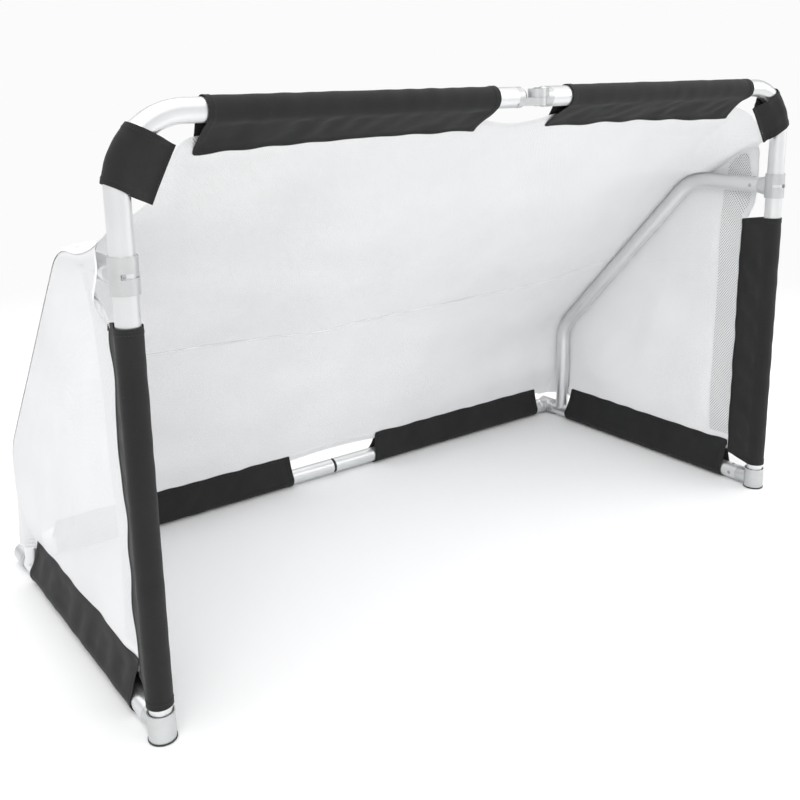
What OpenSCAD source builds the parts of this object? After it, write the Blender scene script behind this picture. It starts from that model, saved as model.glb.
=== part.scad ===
// Folding goal of bent aluminium tube with a sewn net.
// Frame: X across the mouth, Y from the mouth back to the rear bar, Z up.
// The posts turn in the collars and foot cups of the side frames, the crossbar
// folds at its middle hinge, and each rear bar half swings up on its elbow.

/* [Goal size] */
// Distance between the two post axes
goal_w = 1465; // [1400:5:1530]
// Height of the crossbar axis above the ground
goal_h = 911; // [890:1:960]
// Distance from the post axes to the rear bar axis
goal_d = 680; // [670:1:720]

/* [Tube] */
// Outside diameter of every tube
tube_od = 35; // [34.8:0.1:35.2]
// Wall of every tube
tube_wall = 1.5; // [1.2:0.1:1.8]
// Centreline radius of the bends
bend_r = 100; // [95:1:110]

/* [Side frame] */
// Height of the middle of the collar
collar_z = 702; // [690:1:710]
// Height of the level part of the arm
arm_z = 700; // [690:1:708]
// Distance from the post axis to the arm's upper corner
arm_y1 = 218; // [200:1:240]
// Distance from the post axis to the arm's upright
arm_y2 = 620; // [600:1:620]
// Height of the arm's lower corner
arm_z2 = 262; // [240:1:280]
// Height of the base tube and rear bar axes
base_z = 20; // [20:0.5:21]

/* [Fold] */
// How far the crossbar hinge pin stands in front of the tube axis
pin_offset = 16; // [15.5:0.5:18]
// Radius of the round hinge eyes
eye_r = 16; // [14:0.5:16]
// Running clearance of turning fits
fit = 0.05; // [0.02:0.01:0.08]

/* [Fabric] */
// Thickness of a wrapped sleeve
sleeve_t = 1.5; // [1:0.1:1.8]
// Reach of a sleeve's flap from the tube axis
flap = 75; // [60:1:78]
// Thickness of a flap
flap_t = 3; // [2:0.2:4]
// Thickness of the net sheets
net_t = 1.2; // [1:0.1:1.4]

/* [Hidden] */
$fn = 48;
r = tube_od / 2;
ri = r - tube_wall;
rp = ri - 0.05;               // plugs and spigots inside a tube
hw = goal_w / 2;
foot_r = r + 4.5;             // rubber pad
elbow_r = base_z;             // the elbows stand on the ground
y_front = pin_offset + eye_r; // the hinge eyes are the foremost point
y_post = -(goal_d + elbow_r - y_front) / 2; // centres the whole on the origin
post_z0 = 10.6;               // lower end of the post tube
bar_end = 40;                 // crossbar tube ends this far from the middle
collar_h = 52;
collar_ro = r + 3;
neck_y = 34;                  // the arm tube starts here
foot_y = 40;                  // the base tube starts here
base_y1 = goal_d - 30;        // the base tube ends here
stub = 38;                    // the rear tube starts this far from the elbow's axis
lap = 0.5;                    // overlap of the arm's straights and bends
half_gap = 1.5;               // half of the gap between the rear bar's plugs
a1 = atan2(arm_z - arm_z2, arm_y2 - arm_y1); // slope of the arm
t1 = bend_r * tan(a1 / 2);
t2 = bend_r * tan((90 - a1) / 2);
screw_az = 249;               // azimuth of the stop screw at rest
slot_az0 = 238;
slot_az1 = 346;
roof_a = 46;                  // slope of the crossbar flap
off = r + 1.9;                // the net passes this far outside the arm's axis
nx = r + 0.9;                 // inner face of the side net, from the arm's axis
c_tube = "gainsboro";
c_cast = "darkgray";
c_black = [0.13, 0.13, 0.13];
c_cloth = [0.2, 0.2, 0.21];
c_net = "white";

// children are drawn for the left side; side 1 mirrors them to the right
module on(side) {
  translate([0, y_post, 0])
    if (side > 0) mirror([1, 0, 0]) children();
    else children();
}
module ring(ro, rin, h) { difference() { cylinder(r = ro, h = h); translate([0, 0, -1]) cylinder(r = rin, h = h + 2); } }
// a cylinder along +X or +Y that starts at the origin
module along_x(rr, h) { rotate([0, 90, 0]) cylinder(r = rr, h = h); }
module along_y(rr, h) { rotate([-90, 0, 0]) cylinder(r = rr, h = h); }

// ---- upper frame: post and half of the crossbar, one bent tube ----
module bent_bar(rr, e = 0) {
  translate([-hw, 0, post_z0 - e]) cylinder(r = rr, h = goal_h - bend_r - post_z0 + e);
  translate([-hw + bend_r, 0, goal_h - bend_r]) rotate([90, 0, 0]) rotate([0, 0, 90])
    rotate_extrude(angle = 90) translate([bend_r, 0]) circle(r = rr);
  translate([-hw + bend_r, 0, goal_h]) along_x(rr, hw - bend_r - bar_end + e);
}
module at_screw() { translate([-hw, 0, collar_z]) rotate([0, 0, screw_az]) children(); }
module frame_tube(side) on(side) color(c_tube) difference() {
  bent_bar(r);
  bent_bar(ri, 1);
  at_screw() along_x(2.5, 30);
}
module post_plug(side) on(side) color(c_black) {
  translate([-hw, 0, post_z0 - 2]) cylinder(r = r - 0.1, h = 2);
  translate([-hw, 0, post_z0 - 0.5]) cylinder(r = rp, h = 20);
}
module stop_screw(side) on(side) color(c_cast) at_screw() difference() {
  union() {
    translate([13, 0, 0]) along_x(2.5, r - 13 + 0.2);
    translate([r, 0, 0]) along_x(3.2, 3.4);
    translate([r + 3.4, 0, 0]) rotate([0, 90, 0]) cylinder(r1 = 3.2, r2 = 2.2, h = 0.7);
  }
  translate([r + 1.8, 0, 0]) rotate([0, 90, 0]) cylinder(r = 1.6, h = 4, $fn = 6);
}

// ---- crossbar hinge: half lapped eyes on a pin in front of the tube ----
module tongue(lower) {
  z0 = lower ? goal_h - 14 : goal_h + 0.15;
  translate([0, 0, z0]) linear_extrude(13.85) {
    translate([0, -pin_offset]) circle(r = eye_r);
    polygon([[-40, -r + 2], [-28, -r + 1.5], [-12, -pin_offset - eye_r * 0.66], [0, -pin_offset],
             [0, -pin_offset + eye_r - 0.4], [-13, 8], [-24, r - 3.5], [-40, r - 3.5]]);
  }
}
module hinge_body(lower) difference() {
  union() {
    translate([-bar_end - 32, 0, goal_h]) along_x(rp, 33);
    translate([-bar_end, 0, goal_h]) along_x(r, bar_end - 27);
    translate([-27, 0, goal_h]) rotate([0, 90, 0]) cylinder(r1 = r, r2 = r - 3, h = 5);
    tongue(lower);
  }
  // room for the other half's eye to turn in
  translate([0, -pin_offset, lower ? goal_h : goal_h - 20]) cylinder(r = eye_r + 3, h = 20);
  translate([0, -pin_offset, goal_h - 20]) cylinder(r = lower ? 4 : 4 + fit, h = 40);
}
module hinge_fitting_left() on(-1) color(c_cast) hinge_body(true);
module hinge_fitting_right() on(1) color(c_cast) hinge_body(false);
module hinge_pin() on(-1) color(c_tube) translate([0, -pin_offset, goal_h]) {
  translate([0, 0, -14]) cylinder(r = 4, h = 28.2);
  translate([0, 0, 14.1]) cylinder(r = 6.5, h = 1);
  translate([0, 0, 15.1]) cylinder(r1 = 6.5, r2 = 4.5, h = 0.8);
  translate([0, 0, -15]) cylinder(r = 6.5, h = 1);
}

// ---- side frame ----
// the bends are a hair thinner and the straights run a little way into them
module arm_solid(rr, e = 0) translate([-hw, 0, 0]) rotate([90, 0, 90]) {
  translate([neck_y - e, arm_z, 0]) along_x(rr, arm_y1 - t1 - neck_y + e + lap);
  translate([arm_y1 - t1, arm_z - bend_r, 0]) rotate([0, 0, 90 - a1])
    rotate_extrude(angle = a1) translate([bend_r, 0]) circle(r = rr - 0.02);
  translate([arm_y1 + (t1 - lap) * cos(a1), arm_z - (t1 - lap) * sin(a1), 0]) rotate([0, 0, -a1])
    along_x(rr, norm([arm_y2 - arm_y1, arm_z - arm_z2]) - t1 - t2 + 2 * lap);
  translate([arm_y2 - bend_r, arm_z2 - t2, 0])
    rotate_extrude(angle = 90 - a1) translate([bend_r, 0]) circle(r = rr - 0.02);
  translate([arm_y2, base_z, 0]) along_y(rr, arm_z2 - t2 - base_z + lap);
}
// rivets stand on the inner side and the top of a joint
module rivet_at(y, z) { translate([-hw, y, z]) { children(); rotate([0, -90, 0]) children(); } }
module rivet_hole() { translate([12, 0, 0]) along_x(2.4, 10); }
module rivet() {
  translate([12, 0, 0]) along_x(2.4, r - 12 + 0.3);
  translate([r, 0, 0]) rotate([0, 90, 0]) cylinder(r1 = 4.2, r2 = 2.6, h = 1.5);
}
module arm_tube(side) on(side) color(c_tube) difference() {
  arm_solid(r);
  arm_solid(ri, 1);
  translate([-hw, arm_y2 - 30, base_z]) along_y(r + 0.05, 60); // saddle cut on the base tube
  rivet_at(neck_y + 16, arm_z) rivet_hole();
}
module base_tube(side) on(side) color(c_tube) difference() {
  translate([-hw, foot_y, base_z]) along_y(r, base_y1 - foot_y);
  translate([-hw, foot_y - 1, base_z]) along_y(ri, base_y1 - foot_y + 2);
  rivet_at(foot_y + 15, base_z) rivet_hole();
}
module neck(y0, y1, z, w, h) {
  hull() {
    translate([-hw, y0, z]) rotate([-90, 0, 0]) linear_extrude(1) {
      translate([0, (h - w) / 2]) circle(d = w, $fn = 32);
      translate([0, -(h - w) / 2]) circle(d = w, $fn = 32);
    }
    translate([-hw, y1 - 3, z]) rotate([-90, 0, 0]) cylinder(r = r - 0.05, h = 3, $fn = 32);
  }
}
module collar(side) on(side) color(c_cast) difference() {
  union() {
    translate([-hw, 0, collar_z - collar_h / 2]) cylinder(r = collar_ro, h = collar_h);
    neck(15, neck_y, arm_z, 24, 44);
    translate([-hw, neck_y - 2, arm_z]) along_y(rp, 34);
  }
  translate([-hw, 0, collar_z - 40]) cylinder(r = r + fit, h = 80);
  translate([-hw, 0, collar_z]) rotate([0, 0, slot_az0])
    rotate_extrude(angle = slot_az1 - slot_az0) translate([r - 2, -3.5]) square([8, 7]);
  rivet_at(neck_y + 16, arm_z) rivet_hole();
}
module foot_cup(side) on(side) color(c_cast) difference() {
  union() {
    translate([-hw, 0, 3]) cylinder(r = r + 3.5, h = 43);
    neck(16, foot_y, base_z, 26, 34);
    translate([-hw, foot_y - 2, base_z]) along_y(rp, 32);
  }
  translate([-hw, 0, 8]) cylinder(r = r + 1.6, h = 60);
  rivet_at(foot_y + 15, base_z) rivet_hole();
}
module foot_pad(side) on(side) color(c_black) translate([-hw, 0, 0])
  rotate_extrude() polygon([[0, 0], [foot_r - 1, 0], [foot_r, 1], [foot_r, 3], [0, 3]]);
module foot_bush(side) on(side) color(c_black) translate([-hw, 0, 8]) ring(r + 1.6, r + fit, 26);
module frame_rivets(side) on(side) color(c_tube) {
  rivet_at(neck_y + 16, arm_z) rivet();
  rivet_at(foot_y + 15, base_z) rivet();
}
module elbow_ring(side) on(side) color(c_cast) translate([-hw, base_y1 - 7, base_z]) rotate([-90, 0, 0]) ring(r + 2, r, 8.5);
module elbow_spindle(side) on(side) color(c_cast) difference() {
  union() {
    translate([-hw, base_y1 - 40, base_z]) along_y(rp, 41);
    translate([-hw, base_y1, base_z]) along_y(r - 0.1, 1.5);
    translate([-hw, base_y1, base_z]) along_y(9, 36);
  }
  translate([-hw, base_y1 + 16, base_z]) along_y(3, 40);
}
module elbow_screw(side) on(side) color(c_tube) difference() {
  union() {
    translate([-hw, base_y1 + 18, base_z]) along_y(3, 25);
    translate([-hw, base_y1 + 42.2, base_z]) along_y(6.5, 3.6);
  }
  translate([-hw, base_y1 + 44, base_z]) rotate([-90, 0, 0]) cylinder(r = 2.6, h = 4, $fn = 6);
}

// ---- rear bar, each half with its elbow ----
module elbow(side) on(side) color(c_cast) difference() {
  union() {
    translate([-hw, base_y1 + 2, base_z]) along_y(elbow_r, 45);
    translate([-hw, base_y1 + 47, base_z]) rotate([-90, 0, 0]) cylinder(r1 = elbow_r, r2 = elbow_r - 3, h = 3);
    translate([-hw, goal_d, base_z]) along_x(elbow_r, stub - 4);
    translate([-hw + stub - 4, goal_d, base_z]) rotate([0, 90, 0]) cylinder(r1 = elbow_r, r2 = r + 0.3, h = 4);
    translate([-hw + stub - 1, goal_d, base_z]) along_x(rp, 33);
  }
  translate([-hw, base_y1, base_z]) along_y(9 + fit, 36.4);
  translate([-hw, base_y1, base_z]) along_y(3 + fit, 60);
  translate([-hw, base_y1 + 42, base_z]) along_y(7, 20);
}
module rear_tube(side) on(side) color(c_tube) difference() {
  translate([-hw + stub, goal_d, base_z]) along_x(r, hw - stub - half_gap - 2);
  translate([-hw + stub - 1, goal_d, base_z]) along_x(ri, hw);
}
module rear_plug(side) on(side) color(c_black) {
  translate([-half_gap - 22, goal_d, base_z]) along_x(rp, 21);
  translate([-half_gap - 2, goal_d, base_z]) rotate([0, 90, 0]) cylinder(r1 = r, r2 = r - 1.2, h = 2);
}

// ---- sleeves: a wrap round the tube and a flap that holds the net's edge ----
// drawn along +Z with the flap towards +X
module sleeve(h, rin, reach) {
  ro = rin + sleeve_t;
  difference() {
    union() {
      cylinder(r = ro, h = h);
      translate([rin, -flap_t / 2, 0]) cube([reach - rin, flap_t, h]);
    }
    translate([0, 0, -1]) cylinder(r = rin, h = h + 2);
  }
}
module crossbar_sleeve(side) on(side) color(c_cloth)
  translate([-605, 0, goal_h]) rotate([-roof_a, 0, 0]) rotate([0, 90, 0]) rotate([0, 0, 90]) sleeve(521, r + 0.2, flap);
module post_sleeve(side) on(side) color(c_cloth)
  translate([-hw, 0, 58]) rotate([0, 0, 90]) sleeve(574, r + 0.8, flap);
module base_sleeve(side) on(side) color(c_cloth)
  translate([-hw, 78, base_z]) rotate([-90, 0, 0]) rotate([0, 0, -90]) sleeve(512, r + 0.2, flap - 5);
module rear_sleeve(side) on(side) color(c_cloth)
  translate([-677, goal_d, base_z]) rotate([9.2, 0, 0]) rotate([0, 90, 0]) rotate([0, 0, 180]) sleeve(559, r + 0.2, flap - 15);
module corner_patch(side) on(side) color(c_cloth)
  translate([-hw + bend_r, 0, goal_h - bend_r]) rotate([90, 0, 0]) rotate([0, 0, 124]) rotate_extrude(angle = 52)
    difference() {
      union() {
        translate([bend_r, 0]) circle(r = r + 0.2 + sleeve_t);
        translate([bend_r - 60, -flap_t / 2]) square([60, flap_t]);
      }
      translate([bend_r, 0]) circle(r = r + 0.2);
    }

// ---- net ----
// the roof and back panel follow this line in Y and Z
ny = arm_y2 + off;
nu = [arm_y1 + off * sin(a1), arm_z + off * cos(a1)];
roof_line = [
  [(flap + 2) * cos(roof_a), goal_h - (flap + 2) * sin(roof_a)],
  nu,
  [ny, nu[1] - (ny - nu[0]) * tan(a1)],
  [goal_d - (flap - 13) * sin(9.2), base_z + (flap - 13) * cos(9.2)]];
module roof_net(side) on(side) color(c_net)
  translate([-hw - r, 0, 0]) rotate([90, 0, 90]) linear_extrude(hw + r - 2)
    polygon(concat(roof_line, [for (i = [len(roof_line) - 1 : -1 : 0]) roof_line[i] + [net_t, net_t * 0.6]]));
module side_net(side) on(side) color(c_net)
  translate([-hw - nx - net_t, 0, 0]) rotate([90, 0, 90]) linear_extrude(net_t)
    polygon([[45, arm_z + 42], [nu[0] - 1, nu[1] - 1], [ny - 1, roof_line[2][1] - 1],
             [roof_line[3][0] - 2, 96], [flap + 2, 96], [flap + 2, 632], [45, 650]]);

collar(-1);  // collar_left
collar(1);  // collar_right
arm_tube(-1);  // arm_tube_left
arm_tube(1);  // arm_tube_right
base_tube(-1);  // base_tube_left
base_tube(1);  // base_tube_right
foot_cup(-1);  // foot_cup_left
foot_cup(1);  // foot_cup_right
foot_pad(-1);  // foot_pad_left
foot_pad(1);  // foot_pad_right
foot_bush(-1);  // foot_bush_left
foot_bush(1);  // foot_bush_right
frame_rivets(-1);  // frame_rivets_left
frame_rivets(1);  // frame_rivets_right
elbow_ring(-1);  // elbow_ring_left
elbow_ring(1);  // elbow_ring_right
elbow_spindle(-1);  // elbow_spindle_left
elbow_spindle(1);  // elbow_spindle_right
elbow_screw(-1);  // elbow_screw_left
elbow_screw(1);  // elbow_screw_right
post_sleeve(-1);  // post_sleeve_left
post_sleeve(1);  // post_sleeve_right
base_sleeve(-1);  // base_sleeve_left
base_sleeve(1);  // base_sleeve_right
side_net(-1);  // side_net_left
side_net(1);  // side_net_right
frame_tube(-1);  // frame_tube_left
frame_tube(1);  // frame_tube_right
post_plug(-1);  // post_plug_left
post_plug(1);  // post_plug_right
stop_screw(-1);  // stop_screw_left
stop_screw(1);  // stop_screw_right
hinge_fitting_left();
hinge_fitting_right();
hinge_pin();
crossbar_sleeve(-1);  // crossbar_sleeve_left
crossbar_sleeve(1);  // crossbar_sleeve_right
corner_patch(-1);  // corner_patch_left
corner_patch(1);  // corner_patch_right
roof_net(-1);  // roof_net_left
roof_net(1);  // roof_net_right
elbow(-1);  // elbow_left
elbow(1);  // elbow_right
rear_tube(-1);  // rear_tube_left
rear_tube(1);  // rear_tube_right
rear_plug(-1);  // rear_plug_left
rear_plug(1);  // rear_plug_right
rear_sleeve(-1);  // rear_sleeve_left
rear_sleeve(1);  // rear_sleeve_right
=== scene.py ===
"""Looks of the folding goal: bent aluminium tube, charcoal fabric sleeves and a fine white net."""

import math

import bpy
import numpy as np
from mathutils import Matrix, Vector


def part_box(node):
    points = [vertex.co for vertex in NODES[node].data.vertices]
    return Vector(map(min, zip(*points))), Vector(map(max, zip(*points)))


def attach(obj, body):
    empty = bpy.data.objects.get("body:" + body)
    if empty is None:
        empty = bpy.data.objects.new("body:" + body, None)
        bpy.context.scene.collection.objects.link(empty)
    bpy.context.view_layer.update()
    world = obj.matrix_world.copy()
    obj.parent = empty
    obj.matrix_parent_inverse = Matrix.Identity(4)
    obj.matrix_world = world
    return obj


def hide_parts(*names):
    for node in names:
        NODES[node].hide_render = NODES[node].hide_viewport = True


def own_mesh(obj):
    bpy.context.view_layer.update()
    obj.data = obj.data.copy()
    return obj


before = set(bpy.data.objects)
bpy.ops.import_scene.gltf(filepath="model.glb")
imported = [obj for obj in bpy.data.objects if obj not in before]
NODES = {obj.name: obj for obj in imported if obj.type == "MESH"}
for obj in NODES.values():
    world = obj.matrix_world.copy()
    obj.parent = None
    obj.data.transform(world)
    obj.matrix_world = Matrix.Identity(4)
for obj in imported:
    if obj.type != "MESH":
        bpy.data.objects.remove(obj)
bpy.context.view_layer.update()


def centre(node, axis):
    lo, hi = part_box(node)
    return (lo[axis] + hi[axis]) / 2


HW = centre("foot_pad_right", 0)  # half the distance between the posts
YP = centre("foot_pad_right", 1)  # the posts' plane
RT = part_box("frame_tube_right")[1][0] - HW  # tube radius
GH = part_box("frame_tube_right")[1][2] - RT  # crossbar axis height
BZ = centre("rear_tube_right", 2)  # base and rear bar axis height
GD = centre("rear_tube_right", 1) - YP  # post axis to rear bar axis
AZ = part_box("arm_tube_right")[1][2] - RT  # level part of the arm
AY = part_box("arm_tube_right")[1][1] - RT - YP  # the arm's upright
BR = 0.100  # bend radius of the tubes
AY1, AZ2 = 0.218, 0.262  # the arm's two corners
A1 = math.atan2(AZ - AZ2, AY - AY1)
T1, T2 = BR * math.tan(A1 / 2), BR * math.tan((math.pi / 2 - A1) / 2)


# ---------------------------------------------------------------- helpers
def smooth(a, b, x):
    t = np.clip((np.asarray(x, float) - a) / (b - a), 0, 1)
    return t * t * (3 - 2 * t)


def waves(seed, lo, hi, n=7):
    """A smooth seeded wave of one variable, about -1 to 1."""
    g = np.random.default_rng(seed)
    lam = np.exp(g.uniform(math.log(lo), math.log(hi), n))
    ph, am = g.uniform(0, 2 * math.pi, n), g.uniform(0.5, 1, n)
    am = am / np.sqrt((am**2).sum()) * 0.9

    def f(x):
        x = np.asarray(x, float)
        return sum(a * np.sin(2 * math.pi * x / w + p) for a, w, p in zip(am, lam, ph))

    return f


def waves2(seed, lo, hi, n=14, lean=None):
    """A smooth seeded wave of two variables, about -1 to 1."""
    g = np.random.default_rng(seed)
    lam = np.exp(g.uniform(math.log(lo), math.log(hi), n))
    th = g.uniform(0, math.pi, n) if lean is None else g.normal(lean, 0.35, n)
    ph, am = g.uniform(0, 2 * math.pi, n), g.uniform(0.5, 1, n)
    am = am / np.sqrt((am**2).sum()) * 0.9

    def f(x, y):
        x, y = np.asarray(x, float), np.asarray(y, float)
        return sum(
            a * np.sin(2 * math.pi * (x * math.cos(t) + y * math.sin(t)) / w + p)
            for a, w, p, t in zip(am, lam, ph, th)
        )

    return f


def grid(name, P, UV, mat, flip=False):
    """A sheet from a grid of points, with UVs in metres."""
    a, b = P.shape[:2]
    idx = np.arange(a * b).reshape(a, b)
    q = np.stack([idx[:-1, :-1], idx[1:, :-1], idx[1:, 1:], idx[:-1, 1:]], -1).reshape(-1, 4)
    if flip:
        q = q[:, ::-1]
    me = bpy.data.meshes.new(name)
    me.from_pydata(P.reshape(-1, 3).tolist(), [], q.tolist())
    uv = me.uv_layers.new(name="UVMap")
    flat = UV.reshape(-1, 2)
    loops = np.array([l.vertex_index for l in me.loops])
    uv.data.foreach_set("uv", flat[loops].astype(np.float32).ravel())
    me.polygons.foreach_set("use_smooth", [True] * len(me.polygons))
    me.materials.append(mat)
    ob = bpy.data.objects.new(name, me)
    bpy.context.scene.collection.objects.link(ob)
    return ob


def thicken(ob, t):
    m = ob.modifiers.new("cloth thickness", "SOLIDIFY")
    m.thickness, m.offset, m.use_even_offset = t, 0, False
    return ob


def normals(P):
    da, db = np.gradient(P, axis=0), np.gradient(P, axis=1)
    n = np.cross(da, db)
    return n / np.maximum(np.linalg.norm(n, axis=-1, keepdims=True), 1e-12)


def ribbon(name, line, across, width, mat, v0=0.0, n=5, arch=0.0, lift=None):
    """A flat tape along a line of points, across along the given unit vectors."""
    line, across = np.asarray(line, float), np.asarray(across, float)
    across = across / np.linalg.norm(across, axis=1, keepdims=True)
    s = np.concatenate([[0], np.cumsum(np.linalg.norm(np.diff(line, axis=0), axis=1))])
    k = np.linspace(-0.5, 0.5, n)
    P = line[:, None, :] + across[:, None, :] * (k * width)[None, :, None]
    if lift is not None:
        P = P + lift[:, None, :] * (arch * (1 - (2 * k) ** 2))[None, :, None]
    UV = np.stack(np.broadcast_arrays(s[:, None], (k * width + v0)[None, :]), -1)
    return grid(name, P, UV, mat)


def stitches(name, seats, mat, long=0.0032, wide=0.00055, tall=0.00035):
    """Small arched threads at (position, along, up) seats."""
    vs, fs = [], []
    for p, t, u in seats:
        p, t, u = np.array(p), np.array(t), np.array(u)
        t = t / np.linalg.norm(t)
        w = np.cross(u, t)
        w = w / np.linalg.norm(w)
        u = np.cross(t, w)
        b = len(vs)
        for k, h, s in ((-0.5, -0.5, 0.6), (-0.3, 0.75, 1), (0.3, 0.75, 1), (0.5, -0.5, 0.6)):
            c = p + t * long * k + u * tall * h
            vs += [c + w * wide / 2 * s, c + u * tall / 2 * s, c - w * wide / 2 * s, c - u * tall / 2 * s]
        for r in range(3):
            o = b + 4 * r
            fs += [(o + i, o + (i + 1) % 4, o + 4 + (i + 1) % 4, o + 4 + i) for i in range(4)]
        fs += [(b + 3, b + 2, b + 1, b), (b + 12, b + 13, b + 14, b + 15)]
    me = bpy.data.meshes.new(name)
    me.from_pydata([tuple(v) for v in vs], [], fs)
    me.polygons.foreach_set("use_smooth", [True] * len(me.polygons))
    me.materials.append(mat)
    ob = bpy.data.objects.new(name, me)
    bpy.context.scene.collection.objects.link(ob)
    return ob


# ---------------------------------------------------------------- materials
class Mat:
    def __init__(self, name):
        self.m = bpy.data.materials.new(name)
        self.m.use_nodes = True
        self.t = self.m.node_tree
        self.t.nodes.clear()
        self.out = self.t.nodes.new("ShaderNodeOutputMaterial")
        self.b = self.t.nodes.new("ShaderNodeBsdfPrincipled")
        self.t.links.new(self.b.outputs[0], self.out.inputs[0])

    def put(self, socket, v):
        if isinstance(v, bpy.types.NodeSocket):
            self.t.links.new(v, socket)
        else:
            socket.default_value = v

    def node(self, kind, ins=None, out=0, **props):
        n = self.t.nodes.new(kind)
        for k, v in props.items():
            setattr(n, k, v)
        for k, v in (ins or {}).items():
            self.put(n.inputs[k], v)
        return n.outputs[out]

    def math(self, op, a, b=0.0, c=None, clamp=False):
        n = self.t.nodes.new("ShaderNodeMath")
        n.operation, n.use_clamp = op, clamp
        self.put(n.inputs[0], a)
        self.put(n.inputs[1], b)
        if c is not None:
            self.put(n.inputs[2], c)
        return n.outputs[0]

    def rng(self, v, a, b, lo=0.0, hi=1.0, kind="LINEAR"):
        n = self.t.nodes.new("ShaderNodeMapRange")
        n.interpolation_type = kind
        self.put(n.inputs[0], v)
        for i, x in enumerate((a, b, lo, hi)):
            n.inputs[i + 1].default_value = x
        return n.outputs[0]

    def mixf(self, f, a, b):
        n = self.t.nodes.new("ShaderNodeMix")
        n.data_type = "FLOAT"
        self.put(n.inputs[0], f)
        self.put(n.inputs[2], a)
        self.put(n.inputs[3], b)
        return n.outputs[0]

    def mixc(self, f, a, b):
        n = self.t.nodes.new("ShaderNodeMix")
        n.data_type = "RGBA"
        self.put(n.inputs[0], f)
        self.put(n.inputs[6], (*a, 1) if isinstance(a, tuple) and len(a) == 3 else a)
        self.put(n.inputs[7], (*b, 1) if isinstance(b, tuple) and len(b) == 3 else b)
        return n.outputs[2]

    def obj(self):
        return self.node("ShaderNodeTexCoord", out=3)

    def uv(self):
        return self.node("ShaderNodeTexCoord", out=2)

    def xyz(self, v):
        n = self.t.nodes.new("ShaderNodeSeparateXYZ")
        self.put(n.inputs[0], v)
        return n.outputs

    def noise(self, co, scale, detail=2.0, rough=0.5):
        return self.node("ShaderNodeTexNoise", {"Vector": co, "Scale": scale, "Detail": detail, "Roughness": rough})

    def bump(self, height, strength, distance, normal=None):
        ins = {"Height": height, "Strength": strength, "Distance": distance}
        if normal is not None:
            ins["Normal"] = normal
        return self.node("ShaderNodeBump", ins)

    def set(self, **kw):
        for k, v in kw.items():
            k = k.replace("_", " ")
            s = self.b.inputs[k]
            self.put(s, (*v, 1) if isinstance(v, tuple) and len(v) == 3 else v)
        return self


def stretched(m, co, direction, along=14.0, across=900.0):
    """Fine noise drawn out along one direction, as a tube's drawn grain is."""
    d = Vector(direction).normalized()
    q = Vector((1, 0, 0)).rotation_difference(d).inverted().to_euler()
    mp = m.node("ShaderNodeMapping", {"Vector": co, "Rotation": tuple(q)}, vector_type="POINT")
    sc = m.node("ShaderNodeMapping", {"Vector": mp, "Scale": (along, across, across)}, vector_type="POINT")
    return m.node("ShaderNodeTexNoise", {"Vector": sc, "Scale": 1.0, "Detail": 3.0, "Roughness": 0.6})


def tube_material(name, kind):
    m = Mat(name)
    co = m.obj()
    x, y, z = m.xyz(co)
    if kind == "upper":  # post, bend, crossbar
        g = m.mixf(m.rng(z, GH - 0.085, GH - 0.02, kind="SMOOTHSTEP"), stretched(m, co, (0, 0, 1)), stretched(m, co, (1, 0, 0)))
    elif kind == "arm":
        slope = (0, math.cos(A1), -math.sin(A1))
        g = m.mixf(m.rng(z, AZ - 0.045, AZ - 0.012, kind="SMOOTHSTEP"), stretched(m, co, slope), stretched(m, co, (0, 1, 0)))
        g = m.mixf(m.rng(z, 0.272, 0.238, kind="SMOOTHSTEP"), g, stretched(m, co, (0, 0, 1)))
    else:
        g = stretched(m, co, {"x": (1, 0, 0), "y": (0, 1, 0), "z": (0, 0, 1)}[kind])
    cloud = m.noise(co, 9.0, 3.0)
    spots = m.noise(co, 260.0, 2.0)
    tone = m.math("ADD", m.math("MULTIPLY", m.rng(cloud, 0.3, 0.7), 0.6), m.math("MULTIPLY", g, 0.4))
    scuff = m.rng(spots, 0.66, 0.78, 0.0, 1.0)
    m.set(Base_Color=m.mixc(tone, (0.72, 0.728, 0.732), (0.82, 0.826, 0.83)))
    m.set(Metallic=0.93, Roughness=m.math("ADD", m.rng(g, 0.25, 0.75, 0.30, 0.44), m.math("MULTIPLY", scuff, 0.08)))
    m.set(Normal=m.bump(m.math("ADD", g, m.math("MULTIPLY", spots, 0.25)), 0.22, 0.00016))
    return m.m


def cast_material(name, base, rough, speck=1.0, metallic=0.9):
    m = Mat(name)
    co = m.obj()
    a, b, c = m.noise(co, 620.0, 3.0, 0.55), m.noise(co, 150.0, 2.0), m.noise(co, 18.0, 2.0)
    pit = m.rng(m.noise(co, 1150.0, 1.0), 0.62, 0.72, 0.0, 1.0)
    tone = m.math("ADD", m.math("MULTIPLY", m.rng(c, 0.3, 0.7), 0.6), m.math("MULTIPLY", b, 0.4))
    dark, light = tuple(v * 0.88 for v in base), tuple(min(v * 1.08, 1) for v in base)
    m.set(Base_Color=m.mixc(m.math("MULTIPLY", pit, 0.35), m.mixc(tone, dark, light), tuple(v * 0.7 for v in base)))
    m.set(Metallic=metallic, Roughness=m.math("ADD", m.rng(b, 0.3, 0.7, rough - 0.06, rough + 0.07), m.math("MULTIPLY", pit, 0.1)))
    h = m.math("ADD", m.math("MULTIPLY", a, 0.7), m.math("SUBTRACT", m.math("MULTIPLY", b, 0.6), m.math("MULTIPLY", pit, 0.35)))
    m.set(Normal=m.bump(h, 0.30 * speck, 0.00035))
    return m.m


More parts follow.
